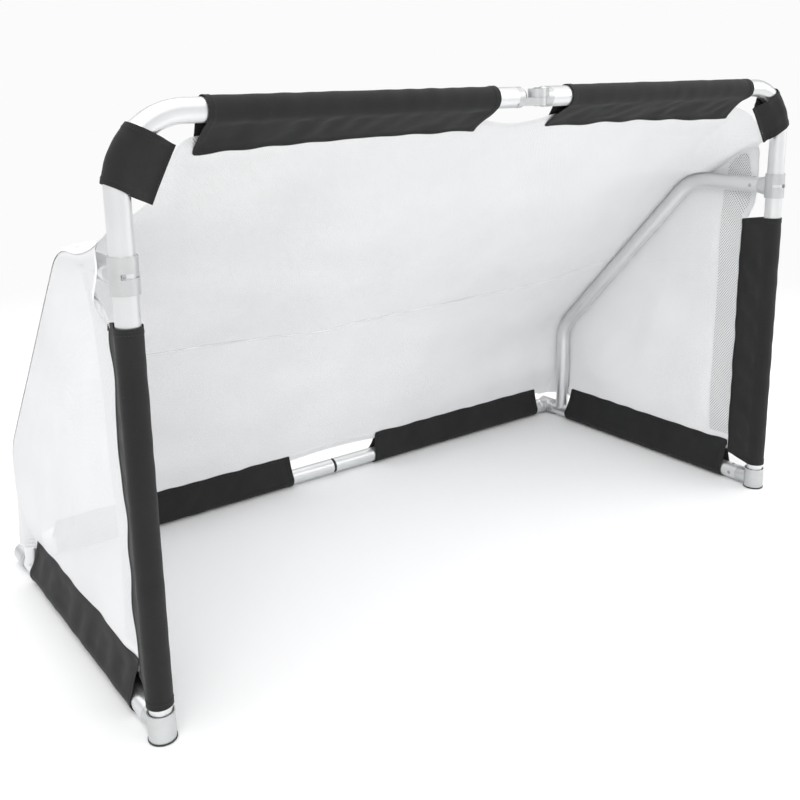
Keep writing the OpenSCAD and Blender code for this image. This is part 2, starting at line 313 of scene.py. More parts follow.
def zinc_material(name):
    m = Mat(name)
    co = m.obj()
    a, c = m.noise(co, 1400.0, 2.0), m.noise(co, 90.0, 2.0)
    sp = m.node("ShaderNodeTexVoronoi", {"Vector": co, "Scale": 420.0})
    m.set(Base_Color=m.mixc(m.rng(c, 0.3, 0.7), (0.36, 0.365, 0.38), (0.50, 0.505, 0.515)), Metallic=1.0)
    m.set(Roughness=m.math("ADD", m.rng(sp, 0.0, 0.9, 0.24, 0.33), m.math("MULTIPLY", a, 0.05)), Normal=m.bump(a, 0.12, 0.0001))
    return m.m


def black_material(name, rough, scale, level):
    m = Mat(name)
    co = m.obj()
    a, c = m.noise(co, scale, 3.0, 0.6), m.noise(co, 30.0, 2.0)
    dust = m.rng(m.noise(co, 95.0, 3.0, 0.7), 0.55, 0.8, 0.0, 0.35)
    m.set(Base_Color=m.mixc(dust, m.mixc(c, (level, level, level * 1.02), (level * 1.7,) * 3), (0.11, 0.105, 0.10)))
    m.set(Roughness=m.rng(a, 0.3, 0.7, rough - 0.08, rough + 0.08), Normal=m.bump(a, 0.35, 0.0003))
    return m.m


def fabric_material(name, level, pitch=0.0008, tape=False):
    """Plain woven polyester: warp and weft crossing at the given pitch, from UVs in metres."""
    m = Mat(name)
    co = m.obj()
    u, v, _ = m.xyz(m.uv())
    k = 2 * math.pi / pitch
    wob = m.math("MULTIPLY", m.math("SUBTRACT", m.noise(co, 60.0, 2.0), 0.5), 0.0006)
    su = m.math("SINE", m.math("MULTIPLY", m.math("ADD", u, wob), k / 2))
    sv = m.math("SINE", m.math("MULTIPLY", m.math("ADD", v, wob), k / 2))
    weave = m.math("MULTIPLY", su, sv)  # -1 to 1: which thread is on top
    threads = m.math("SUBTRACT", m.math("ABSOLUTE", weave), 0.35)
    big, mid, fine = m.noise(co, 7.0, 3.0), m.noise(co, 45.0, 3.0, 0.6), m.noise(co, 1300.0, 1.0)
    slub = m.node("ShaderNodeTexNoise", {"Vector": m.node("ShaderNodeMapping", {"Vector": m.uv(), "Scale": (40, 1200, 1)}), "Scale": 1.0, "Detail": 1.0})
    tone = m.math("ADD", m.math("MULTIPLY", big, 0.45), m.math("ADD", m.math("MULTIPLY", mid, 0.3), m.math("MULTIPLY", slub, 0.25)))
    tone = m.math("ADD", m.rng(tone, 0.35, 0.65), m.math("MULTIPLY", weave, 0.14), clamp=True)
    lint = m.rng(m.noise(co, 430.0, 2.0), 0.735, 0.77, 0.0, 0.35)
    dark, light = (level * 0.78,) * 3, (level * 1.18, level * 1.18, level * 1.2)
    col = m.mixc(tone, dark, light)
    if not tape:
        col = m.mixc(lint, col, (0.14, 0.14, 0.14))
    m.set(Base_Color=col, Roughness=m.rng(mid, 0.3, 0.7, 0.80, 0.94))
    m.b.inputs["Sheen Weight"].default_value = 0.07 if not tape else 0.05
    m.b.inputs["Sheen Roughness"].default_value = 0.5
    m.b.inputs["Specular IOR Level"].default_value = 0.28
    h = m.math("ADD", m.math("MULTIPLY", weave, 0.5), m.math("ADD", m.math("MULTIPLY", threads, 0.5), m.math("MULTIPLY", fine, 0.25)))
    n1 = m.bump(m.math("ADD", m.math("MULTIPLY", mid, 0.7), m.math("MULTIPLY", big, 0.5)), 0.35, 0.0022)
    m.set(Normal=m.bump(h, 0.5, 0.00022, n1))
    return m.m


def net_material(name, pitch=0.0038, hole=0.165, doubled_painted_shade=False):
    """Knitted diamond mesh: round-shouldered threads crossing on the diagonal, open between; where the mesh is doubled
    the holes are filled with painted shade instead.
    """
    m = Mat(name)
    co = m.obj()
    u, v, _ = m.xyz(m.uv())
    wob = m.math("MULTIPLY", m.math("SUBTRACT", m.noise(co, 35.0, 2.0), 0.5), 0.0011)
    u, v = m.math("ADD", u, wob), m.math("SUBTRACT", v, wob)
    a = m.math("PINGPONG", m.math("DIVIDE", m.math("ADD", u, m.math("MULTIPLY", v, 0.8)), pitch), 0.5)
    b = m.math("PINGPONG", m.math("DIVIDE", m.math("SUBTRACT", u, m.math("MULTIPLY", v, 0.8)), pitch), 0.5)
    d = m.math("SMOOTH_MAX", m.math("SUBTRACT", 0.5, a), m.math("SUBTRACT", 0.5, b), 0.12)  # 0 at a hole's middle
    alpha = m.rng(d, hole - 0.05, hole + 0.05, kind="SMOOTHSTEP")
    ridge = m.rng(d, hole, 0.46, kind="SMOOTHSTEP")
    big, fine = m.noise(co, 6.0, 3.0), m.noise(co, 900.0, 2.0)
    # the threads' colour is lighter on their crowns and darker on their shoulders beside the holes: painted shade from
    # their roundness, mixed with random tone
    tone = m.math("ADD", m.math("MULTIPLY", m.rng(big, 0.3, 0.7), 0.5), m.math("MULTIPLY", ridge, 0.5))
    m.set(Base_Color=m.mixc(tone, (0.755, 0.76, 0.768), (0.855, 0.86, 0.865)), Roughness=m.rng(fine, 0.3, 0.7, 0.6, 0.74), Alpha=alpha)
    if doubled_painted_shade:  # two layers of mesh, drawn as one opaque sheet whose holes are painted dark grey: painted shade for the dimmer light seen through the doubled net
        m.b.inputs["Alpha"].default_value = 1.0
        for ln in list(m.b.inputs["Alpha"].links):
            m.t.links.remove(ln)
        m.set(Base_Color=m.mixc(m.rng(d, hole - 0.06, hole + 0.10, kind="SMOOTHSTEP"), (0.15, 0.15, 0.155), (0.83, 0.835, 0.84)))
    m.b.inputs["Specular IOR Level"].default_value = 0.3
    m.b.inputs["Sheen Weight"].default_value = 0.08
    m.set(Normal=m.bump(m.math("ADD", ridge, m.math("MULTIPLY", fine, 0.3)), 0.45, 0.0005))
    return m.m


TUBE_UPPER = tube_material("drawn aluminium, post and crossbar", "upper")
TUBE_ARM = tube_material("drawn aluminium, arm", "arm")
TUBE_X = tube_material("drawn aluminium, rear bar", "x")
TUBE_Y = tube_material("drawn aluminium, base", "y")
CAST = cast_material("tumbled cast aluminium", (0.62, 0.63, 0.63), 0.40)
ZINC = zinc_material("zinc plated steel")
RUBBER = black_material("foot rubber", 0.72, 520.0, 0.018)
PLASTIC = black_material("black plastic", 0.48, 900.0, 0.022)
CLOTH = fabric_material("charcoal sleeve cloth", 0.0175)
THREAD = fabric_material("charcoal thread", 0.036, 0.0006)
NET = net_material("fine white net")
# the hem's net has its holes painted dark grey: painted shade
HEM = net_material("white net, two layers, holes painted with shade", pitch=0.0056, hole=0.225, doubled_painted_shade=True)
TAPE = fabric_material("white binding tape", 0.90, 0.0011, tape=True)

for key, mat in (
    ("frame_tube", TUBE_UPPER), ("arm_tube", TUBE_ARM), ("rear_tube", TUBE_X), ("base_tube", TUBE_Y),
    ("collar", CAST), ("foot_cup", CAST), ("hinge_fitting", CAST), ("elbow_spindle", CAST), ("elbow_ring", CAST),
    ("elbow_screw", ZINC), ("elbow", CAST), ("frame_rivets", ZINC), ("stop_screw", ZINC), ("hinge_pin", ZINC),
    ("foot_pad", RUBBER), ("foot_bush", PLASTIC), ("post_plug", PLASTIC), ("rear_plug", PLASTIC),
):
    for n, o in NODES.items():
        if n.rsplit("_", 1)[0] == key or n == key:
            if not o.material_slots:
                o.data.materials.append(mat)
            for s in o.material_slots:
                s.material = mat


# ---------------------------------------------------------------- sleeves
SEWN = 0.0085  # the two layers lie together this far in from the edge
H = 0.0008  # half the distance between the flap's layers
T_CLOTH = 0.0009


class Sleeve:
    """One piece of cloth folded round a tube, its two edges sewn together with the net's edge between them."""

    def __init__(self, key, side, origin, along, flap, length, reach, radius, body, seed, amp=0.0014, setin=(0.0, 0.0), droop=0.0):
        mirror = np.array([-side, 1, 1], float)
        self.key, self.side, self.body = key, side, body
        self.O = np.array(origin, float) * mirror
        self.A = np.array(along, float) * mirror
        self.U = np.array(flap, float) * mirror
        self.V = np.cross(self.A, self.U)
        self.L, self.reach, self.R = length, reach, radius
        self.amp, self.setin, self.droop = amp, setin, droop
        self.wave = waves(seed, 0.07, 0.34)
        self.wrap = waves2(seed + 1, 0.035, 0.16, lean=0.25)
        self.edge = waves(seed + 2, 0.05, 0.25)

    def lateral(self, l, u):
        ramp = np.clip((np.asarray(u) - 0.020) / (self.reach - 0.020), 0, 1.4) ** 1.25
        # the crossbar's flaps hang steeper towards the posts, where the net pulls them down
        return ramp * (self.amp * self.wave(l) + self.droop * self.side * (1 - smooth(0.0, 0.30, l)))

    def point(self, l, u, v):
        l, u, v = np.broadcast_arrays(np.asarray(l, float), np.asarray(u, float), np.asarray(v, float))
        return self.O + l[..., None] * self.A + u[..., None] * self.U + (v + self.lateral(l, u))[..., None] * self.V

    def section(self):
        d, h, R = self.reach - SEWN, H, self.R
        dist, phi = math.hypot(d, h), math.atan2(h, d)
        th = phi + math.acos(R / dist)
        pts = [(u, h) for u in np.linspace(self.reach, d, 5, endpoint=False)]
        tx, ty = R * math.cos(th), R * math.sin(th)
        pts += [(d + (tx - d) * k, h + (ty - h) * k) for k in np.linspace(0, 1, 18, endpoint=False)]
        arc = [(R * math.cos(a), R * math.sin(a)) for a in np.linspace(th, math.pi, 20)]
        half = np.array(pts + arc)
        full = np.concatenate([half, half[-2::-1] * np.array([1, -1])])
        # soften the corner where the layers come together
        for _ in range(2):
            inner = full.copy()
            inner[1:-1] = (full[:-2] + 2 * full[1:-1] + full[2:]) / 4
            k = smooth(d - 0.010, d - 0.004, full[:, 0])[:, None] * (1 - smooth(d + 0.004, d + 0.007, full[:, 0]))[:, None]
            full = full * (1 - k) + inner * k
        s = np.concatenate([[0], np.cumsum(np.linalg.norm(np.diff(full, axis=0), axis=1))])
        tan = np.gradient(full, axis=0)
        tan = tan / np.linalg.norm(tan, axis=1, keepdims=True)
        nrm = np.stack([-tan[:, 1], tan[:, 0]], 1)
        if nrm[len(nrm) // 2] @ np.array([-1.0, 0]) < 0:
            nrm = -nrm
        return full, s, nrm

    def stations(self):
        hem = 0.011
        ends = [0, 0.0006, 0.0015, 0.004, 0.0075, hem - 0.0009, hem - 0.0003, hem + 0.0004, hem + 0.0012]
        mid = np.linspace(hem + 0.004, self.L - hem - 0.004, max(8, int((self.L - 2 * hem) / 0.0042)))
        return np.concatenate([ends, mid, self.L - np.array(ends[::-1])]), hem

    def build(self):
        full, s, nrm = self.section()
        f, hem = self.stations()
        u, v = full[:, 0], full[:, 1]
        rc = 0.0025
        over = np.clip((u - (self.reach - rc)) / rc, 0, 1)
        cut0, cut1 = (c * np.clip(u / self.reach, 0, 1) ** 1.4 + rc * (1 - np.sqrt(np.clip(1 - over**2, 0, 1))) for c in self.setin)
        l = cut0[None, :] + f[:, None] / self.L * (self.L - cut0 - cut1)[None, :]
        ramp = 1 - smooth(self.reach - 0.030, self.reach - 0.008, u)  # wrinkles die out towards the sewn edge
        face = smooth(0.004, 0.022, u) * ramp  # the two faces may also draw in a little between tube and edge
        wr = 0.0007 * (0.5 + 0.5 * self.wrap(l, s[None, :])) * ramp[None, :]
        wr = wr + (0.0016 * self.wrap(l * 0.8 + 0.2, s[None, :] * 0.8) - 0.0012) * face[None, :]
        ends = np.minimum(f, self.L - f)[:, None]
        wr = wr + 0.00055 * (1 - smooth(hem - 0.0007, hem + 0.0007, ends))  # turned hem
        wr = wr + 0.0006 * (1 - smooth(0, 0.012, ends)) * np.clip(self.edge(s * 1.0)[None, :], 0, 1) * ramp[None, :]
        uu = u[None, :] + wr * nrm[None, :, 0] + 0.0009 * self.edge(l) * smooth(self.reach - 0.02, self.reach, u)[None, :]
        vv = v[None, :] + wr * nrm[None, :, 1]
        P = self.point(l, uu, vv)
        P[..., 2] = np.maximum(P[..., 2], 0.0012)  # cloth lies on the ground, not in it
        UV = np.stack(np.broadcast_arrays(s[None, :], l), -1)
        ob = grid(f"{self.key}_cloth_{'left' if self.side < 0 else 'right'}", P, UV, CLOTH)
        thicken(ob, T_CLOTH)
        flat = (float(s[-1]), float(self.L))
        seats = []
        for uu0 in (self.reach - 0.0028, self.reach - 0.0066):
            ls = np.arange(self.setin[0] + 0.004, self.L - self.setin[1] - 0.004, 0.0044)
            for sgn in (1, -1):
                p = self.point(ls, uu0 + 0.0 * ls, sgn * (H + T_CLOTH / 2 + 0.0001))
                q = self.point(ls + 0.001, uu0 + 0.0 * ls, sgn * (H + T_CLOTH / 2 + 0.0001))
                seats += [(p[i], q[i] - p[i], self.V * sgn) for i in range(len(ls))]
        for at in (hem - 0.0022, self.L - hem + 0.0022):  # hem stitching round the wrap
            keep = np.where(u < self.reach - 0.012)[0]
            sp = np.arange(s[keep[0]], s[keep[-1]], 0.0044)
            pu, pv = np.interp(sp, s, u), np.interp(sp, s, v)
            nu_, nv_ = np.interp(sp, s, nrm[:, 0]), np.interp(sp, s, nrm[:, 1])
            c0, c1 = (c * np.clip(pu / self.reach, 0, 1) ** 1.4 for c in self.setin)
            al = c0 + at / self.L * (self.L - c0 - c1)
            rp, fc = np.interp(sp, s, ramp), np.interp(sp, s, face)
            out = 0.0007 * (0.5 + 0.5 * self.wrap(al, sp)) * rp + (0.0016 * self.wrap(al * 0.8 + 0.2, sp * 0.8) - 0.0012) * fc
            out = out + 0.00055 + 0.0006 * (1 - smooth(0, 0.012, hem - 0.0022)) * np.clip(self.edge(sp), 0, 1) * rp + T_CLOTH / 2 + 0.0001
            p = self.point(al, pu + out * nu_, pv + out * nv_)
            q = np.roll(p, -1, axis=0)
            for i in range(len(sp) - 1):
                seats.append((p[i], q[i] - p[i], nu_[i] * self.U + nv_[i] * self.V))
        st = stitches(f"{self.key}_stitching_{'left' if self.side < 0 else 'right'}", seats, THREAD)
        return ob, st, flat


def arc_patch(side, seed):
    """The corner patch: a strip of cloth folded over the bend, its edges sewn to the net on the inner side."""
    mx = -side
    full, s, nrm = Sleeve("x", -1, (0, 0, 0), (1, 0, 0), (0, 1, 0), 0.1, 0.062, 0.0184, "", 1).section()
    wrap, edge = waves2(seed, 0.03, 0.12), waves(seed + 1, 0.02, 0.07)
    half = 0.0430
    f = np.concatenate([[0, 0.0006, 0.002, 0.005, 0.0085, 0.0094, 0.0102], np.linspace(0.013, 2 * half - 0.013, 20),
                        2 * half - np.array([0.0102, 0.0094, 0.0085, 0.005, 0.002, 0.0006, 0])])
    C = np.array([-(HW - BR) * mx, YP, GH - BR])

    def at(l, u, v):
        """l runs round the bend at the tube's axis, u towards the bend's centre, v out of its plane."""
        l, u, v = np.broadcast_arrays(np.asarray(l, float), np.asarray(u, float), np.asarray(v, float))
        a0 = math.radians(153 if side < 0 else 146)
        rad, t = BR - u, l - half
        # the strip's sides are straight and parallel; its middle follows the bend on the wrap and is flat at the edge
        bent = np.sqrt(np.maximum(rad**2 - t**2, (0.35 * rad) ** 2))
        k = 1 - smooth(0.012, 0.060, u)
        r = rad * (1 - k) + bent * k
        x = r * math.cos(a0) + t * math.sin(a0)
        z = r * math.sin(a0) - t * math.cos(a0)
        back = (0.001 if side < 0 else 0.0035) * smooth(0.020, 0.056, u)  # drawn back by the net
        return C + np.stack([x * mx, v + back, z], -1)

    u, v = full[:, 0], full[:, 1]
    ends = np.minimum(f, 2 * half - f)[:, None]
    ramp = 1 - smooth(0.030, 0.052, u)
    wr = (0.0010 * (0.5 + 0.5 * wrap(f[:, None], s[None, :])) + 0.0014 * (1 - smooth(0, 0.02, ends)) * np.clip(edge(s)[None, :], 0, 1)) * ramp[None, :]
    wr = wr + 0.0005 * (1 - smooth(0.0088, 0.0100, ends))
    bow = 0.0006 * smooth(0.03, 0.062, u)[None, :] * np.sin(f[:, None] / (2 * half) * math.pi * 1.3 + 0.5 + side)
    P = at(f[:, None], u[None, :] + wr * nrm[None, :, 0], v[None, :] + wr * nrm[None, :, 1] + bow)
    UV = np.stack(np.broadcast_arrays(s[None, :], f[:, None]), -1)
    nm = "left" if side < 0 else "right"
    ob = grid(f"corner_patch_cloth_{nm}", P, UV, CLOTH)
    thicken(ob, T_CLOTH)
    seats = []
    for uu0 in (0.0592, 0.0556):
        ls = np.arange(0.004, 2 * half - 0.003, 0.0044)
        b = 0.0006 * smooth(0.03, 0.062, uu0) * np.sin(ls / (2 * half) * math.pi * 1.3 + 0.5 + side)
        for sgn in (1, -1):
            w = sgn * (H + T_CLOTH / 2 + 0.0001)
            p, q = at(ls, uu0, w + b), at(ls + 0.001, uu0, w + b)
            seats += [(p[i], q[i] - p[i], np.array([0, sgn, 0.0])) for i in range(len(ls))]
    for l0 in (0.0068, 2 * half - 0.0068):
        keep = np.where(u < 0.050)[0]
        sp = np.arange(s[keep[0]], s[keep[-1]], 0.0044)
        pu, pv = np.interp(sp, s, u), np.interp(sp, s, v)
        rp = np.interp(sp, s, ramp)
        a_, b_ = np.interp(sp, s, nrm[:, 0]), np.interp(sp, s, nrm[:, 1])
        out = 0.0005 + T_CLOTH / 2 + (0.0010 * (0.5 + 0.5 * wrap(l0, sp)) + 0.0014 * (1 - smooth(0, 0.02, 0.0068)) * np.clip(edge(sp), 0, 1)) * rp + 0.0001
        p = at(l0, pu + out * a_, pv + out * b_)
        p0 = at(l0, pu, pv)
        for i in range(len(sp) - 1):
            seats.append((p[i], p[i + 1] - p[i], p[i] - p0[i]))
    st = stitches(f"corner_patch_stitching_{nm}", seats, THREAD)
    cut = float(np.linalg.norm(np.cross(np.diff(P, axis=0)[:, :-1], np.diff(P, axis=1)[:-1]), axis=-1).sum())
    print("corner patch", nm, "surface", round(cut, 5), "rectangle", round(float(s[-1]) * 2 * half, 5))
    return ob, st, (float(s[-1]), 2 * half), cut  # cut narrower in the middle, where it folds over the bend


roof_a = math.radians(46)
lean = math.radians(9.2)
BOUND = {}
SLEEVES = {}
for side, nm in ((-1, "left"), (1, "right")):
    mk = {
        "crossbar_sleeve": Sleeve("crossbar_sleeve", side, (-0.605, YP, GH), (1, 0, 0), (0, math.cos(roof_a), -math.sin(roof_a)),
                                  0.521, 0.075, RT + 0.00095, f"upper_{nm}", 11 + side, droop=0.0105),
        "post_sleeve": Sleeve("post_sleeve", side, (-HW, YP, 0.058), (0, 0, 1), (0, 1, 0), 0.574, 0.075, RT + 0.00155,
                              f"side_{nm}", 31 + side, amp=0.0018, setin=(0.004, 0.010)),
        "base_sleeve": Sleeve("base_sleeve", side, (-HW, YP + 0.078, BZ), (0, 1, 0), (0, 0, 1), 0.512, 0.070, RT + 0.00095,
                              f"side_{nm}", 51 + side, amp=0.0018, setin=(0.0, 0.008)),
        "rear_sleeve": Sleeve("rear_sleeve", side, (-0.677, YP + GD, BZ), (1, 0, 0), (0, -math.sin(lean), math.cos(lean)),
                              0.559, 0.060, RT + 0.00095, f"rear_{nm}", 71 + side, amp=0.0018, setin=(0.004, 0.006)),
    }
    for k, sl in mk.items():
        SLEEVES[k, side] = sl
        ob, st, flat = sl.build()
        for o in (ob, st):
            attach(o, sl.body)
        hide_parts(f"{k}_{nm}")
    ob, st, flat, cut = arc_patch(side, 91 + side)
    for o in (ob, st):
        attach(o, f"upper_{nm}")
    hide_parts(f"corner_patch_{nm}")


# ---------------------------------------------------------------- nets
OFF = RT + 0.0018  # the net passes this far from the arm's axis
EDGE = OFF * math.sin(math.radians(45))


def resample(pts, n, stations=None):
    """n points along a line, evenly, or so that each station's point falls at its share."""
    pts = np.asarray(pts, float)
    s = np.concatenate([[0], np.cumsum(np.linalg.norm(np.diff(pts, axis=0), axis=1))])
    t = np.linspace(0, 1, n)
    if stations is None:
        q = t * s[-1]
    else:  # a monotone curve through (0,0), (share, length), (1, whole)
        share, length = stations
        k = length / s[-1]
        c = (k - share) / (share * (1 - share))
        q = (t + c * t * (1 - t)) * s[-1]
    return np.stack([np.interp(q, s, pts[:, i]) for i in range(pts.shape[1])], 1), s[-1]


def spline(pts, per=24):
    """Catmull-Rom through the points."""
    p = np.asarray(pts, float)
    p = np.vstack([2 * p[0] - p[1], p, 2 * p[-1] - p[-2]])
    out = []
    for i in range(1, len(p) - 2):
        d = [np.linalg.norm(p[j + 1] - p[j]) ** 0.5 for j in (i - 1, i, i + 1)]
        t0, t1 = 0, d[0]
        t2, t3 = t1 + d[1], t1 + d[1] + d[2]
        for t in np.linspace(t1, t2, per, endpoint=False):
            a1 = (t1 - t) / (t1 - t0) * p[i - 1] + (t - t0) / (t1 - t0) * p[i]
            a2 = (t2 - t) / (t2 - t1) * p[i] + (t - t1) / (t2 - t1) * p[i + 1]
            a3 = (t3 - t) / (t3 - t2) * p[i + 1] + (t - t2) / (t3 - t2) * p[i + 2]
            b1 = (t2 - t) / (t2 - t0) * a1 + (t - t0) / (t2 - t0) * a2
            b2 = (t3 - t) / (t3 - t1) * a2 + (t - t1) / (t3 - t1) * a3
            out.append((t2 - t) / (t2 - t1) * b1 + (t - t1) / (t2 - t1) * b2)
    out.append(p[-2])
    return np.array(out)


NT = 150
SEAM_T = 0.565  # share of the way back at which the two panels are joined
TIP = 0.060
rear_tip = np.array([GD - TIP * math.sin(lean), BZ + TIP * math.cos(lean)])
rear_in = np.array([GD - 0.045 * math.sin(lean), BZ + 0.045 * math.cos(lean)])
front_in = np.array([0.045 * math.cos(roof_a), GH - 0.045 * math.sin(roof_a)])
front_tip = np.array([0.075 * math.cos(roof_a), GH - 0.075 * math.sin(roof_a)])


def side_profile(o, side):
    """The net's line over the arm, o outside the arm's axis, as (y from the posts, z)."""
    drop = OFF - o
    if side < 0:
        front = [(0.048, AZ + 0.046 - drop), (0.078, AZ + 0.0345 - drop), (0.110, AZ + 0.0260 - drop), (0.145, AZ + 0.0205 - drop)]
    else:  # on this side the net stands higher where it leaves the arm
        front = [(0.056, AZ + 0.090 - drop), (0.080, AZ + 0.0830 - drop), (0.108, AZ + 0.0680 - drop), (0.142, AZ + 0.0435 - drop), (0.168, AZ + 0.0250 - drop)]
    c1, c2 = (AY1 - T1, AZ - BR), (AY - BR, AZ2 - T2)
    arc1 = [(c1[0] + (BR + o) * math.sin(a), c1[1] + (BR + o) * math.cos(a)) for a in np.linspace(0.02, A1, 14)]
    arc2 = [(c2[0] + (BR + o) * math.sin(a), c2[1] + (BR + o) * math.cos(a)) for a in np.linspace(A1, math.pi / 2, 14)]
    line = spline(front + [arc1[0]], 10)[:-1].tolist() + arc1 + arc2
    tail = spline([arc2[-1], (AY + o + 0.0005, 0.185), (AY + o + 0.004, 0.145), tuple(rear_tip), tuple(rear_in)], 10)
    line = line + tail[1:].tolist()
    line = np.array(line)
    s = np.concatenate([[0], np.cumsum(np.linalg.norm(np.diff(line, axis=0), axis=1))])
    i = np.argmin(np.abs(line[:, 1] - 0.470) + (line[:, 0] < 0.3) * 9)
    fine = np.linspace(0, s[-1], 4000)
    zz = np.interp(fine, s, line[:, 1])
    at = fine[np.argmin(np.abs(zz - 0.474))]
    return resample(line, NT, (SEAM_T, at))[0]


mid_line = spline([tuple(front_in), tuple(front_tip), (0.165, 0.738), (0.310, 0.588), (0.400, 0.499), (0.467, 0.430),
                   (0.533, 0.340), (0.592, 0.243), (0.638, 0.152), tuple(rear_tip), tuple(rear_in)], 16)
ms = np.concatenate([[0], np.cumsum(np.linalg.norm(np.diff(mid_line, axis=0), axis=1))])
mid_at = ms[np.argmin(np.abs(mid_line[:, 1] - 0.433))]
MID, MID_LEN = resample(mid_line, NT, (SEAM_T, mid_at))
SIDE_TOP = {s: side_profile(OFF, s) for s in (-1, 1)}
T = np.linspace(0, 1, NT)

# the front edge, from the crossbar sleeve's flap round the corner to the arm: |x|, y, z
FRONT = {
    s: spline([(0.600, *front_in), (0.615, 0.0300, 0.8745), (0.640, 0.0150, 0.8600)]
              + ([(0.6680, 0.0010, 0.8300), (0.6840, 0.0015, 0.8005), (0.710, 0.019, 0.775), (0.732, 0.036, 0.759)] if s < 0 else
                 [(0.6660, 0.0035, 0.8325), (0.6850, 0.0040, 0.8070), (0.712, 0.022, 0.797), (0.732, 0.041, 0.790)])
              + [(HW + EDGE, *side_profile(EDGE, s)[0])], 12)
    for s in (-1, 1)
}
cx = np.concatenate([np.linspace(0, 0.56, 76, endpoint=False), np.linspace(0.56, 0.70, 26, endpoint=False), np.linspace(0.70, HW, 10, endpoint=False),
                     HW + OFF * np.sin(np.linspace(0, math.radians(45), 6))])
NX = len(cx)


def tuck(y, z, k=1.0):
    """Low at the rear corner the nets' seam turns forward, clear of the rear bar as it folds up."""
    return y - k * 0.543 * np.clip(y - 0.640, 0, None) * (1 - smooth(0.115, 0.150, z))


def roof_points(side):
    P = np.zeros((NX, NT, 3))
    front_edge = FRONT[side]
    for i, x in enumerate(cx):
        S = SIDE_TOP[side] if x <= HW else side_profile(math.sqrt(max(OFF**2 - (x - HW) ** 2, 0)), side)
        wf = smooth(0.605, 0.725, x)
        wb = min(x / (HW - 0.012), 1.0) ** 2.3
        w = wf + (wb - wf) * smooth(0, 0.30, T)
        p = MID * (1 - w[:, None]) + S * w[:, None]
        P[i, :, 0], P[i, :, 1], P[i, :, 2] = x, p[:, 0], p[:, 1]
        if x > 0.600:
            f = np.array([x, np.interp(x, front_edge[:, 0], front_edge[:, 1]), np.interp(x, front_edge[:, 0], front_edge[:, 2])])
            P[i] += (f - P[i, 0])[None, :] * (1 - smooth(0, 0.22, T))[:, None]
    # the free edges at the middle of the crossbar and of the rear bar
    gap_f, gap_r = 0.084, 0.118
    pull = 0.017 * np.clip(1 - (cx / gap_f) ** 2, 0, 1)
    P[:, :, 1] += (pull * math.cos(roof_a))[:, None] * (1 - smooth(0, 0.10, T))[None, :]
    P[:, :, 2] -= (pull * math.sin(roof_a))[:, None] * (1 - smooth(0, 0.10, T))[None, :]
    pull = 0.005 * np.clip(1 - (cx / gap_r) ** 2, 0, 1) - 0.006 * smooth(0.677, 0.700, cx)
    P[:, :, 2] += pull[:, None] * smooth(0.90, 1.0, T)[None, :]
    P[:, :, 1] = tuck(P[:, :, 1], P[:, :, 2], smooth(HW - 0.012, HW + EDGE, cx)[:, None])
    # slack: long shallow folds that die out at the edges
    f1, f2 = waves2(5, 0.28, 0.75, 10), waves2(6, 0.10, 0.30, 12, lean=1.2)
    edge = smooth(0.02, 0.16, T)[None, :] * (1 - smooth(0.86, 0.99, T))[None, :] * (1 - smooth(0.60, 0.70, cx))[:, None]
    X, L = np.broadcast_arrays(cx[:, None], T[None, :] * MID_LEN)
    centre_fade = 0.35 + 0.65 * smooth(0.0, 0.12, cx)[:, None]
    return P, edge * centre_fade, f1(X, L), f2(X, L)


def ride_flaps(P, which):
    """Moves a net's edge sideways with the flaps that hold it."""
    for sl in which:
        rel = P - sl.O
        l, u, v = rel @ sl.A, rel @ sl.U, rel @ sl.V
        k = (1 - smooth(sl.reach, sl.reach + 0.06, u)) * smooth(0.02, 0.034, u) * (1 - smooth(0.012, 0.03, np.abs(v)))
        k = k * smooth(-0.03, 0.01, l) * (1 - smooth(sl.L - 0.01, sl.L + 0.03, l))
        P = P + (k * sl.lateral(np.clip(l, 0, sl.L), np.minimum(u, sl.reach)))[..., None] * sl.V
    return P


def mirrored(P, side):
    Q = P.copy()
    Q[..., 0] *= side
    Q[..., 1] += YP
    return Q


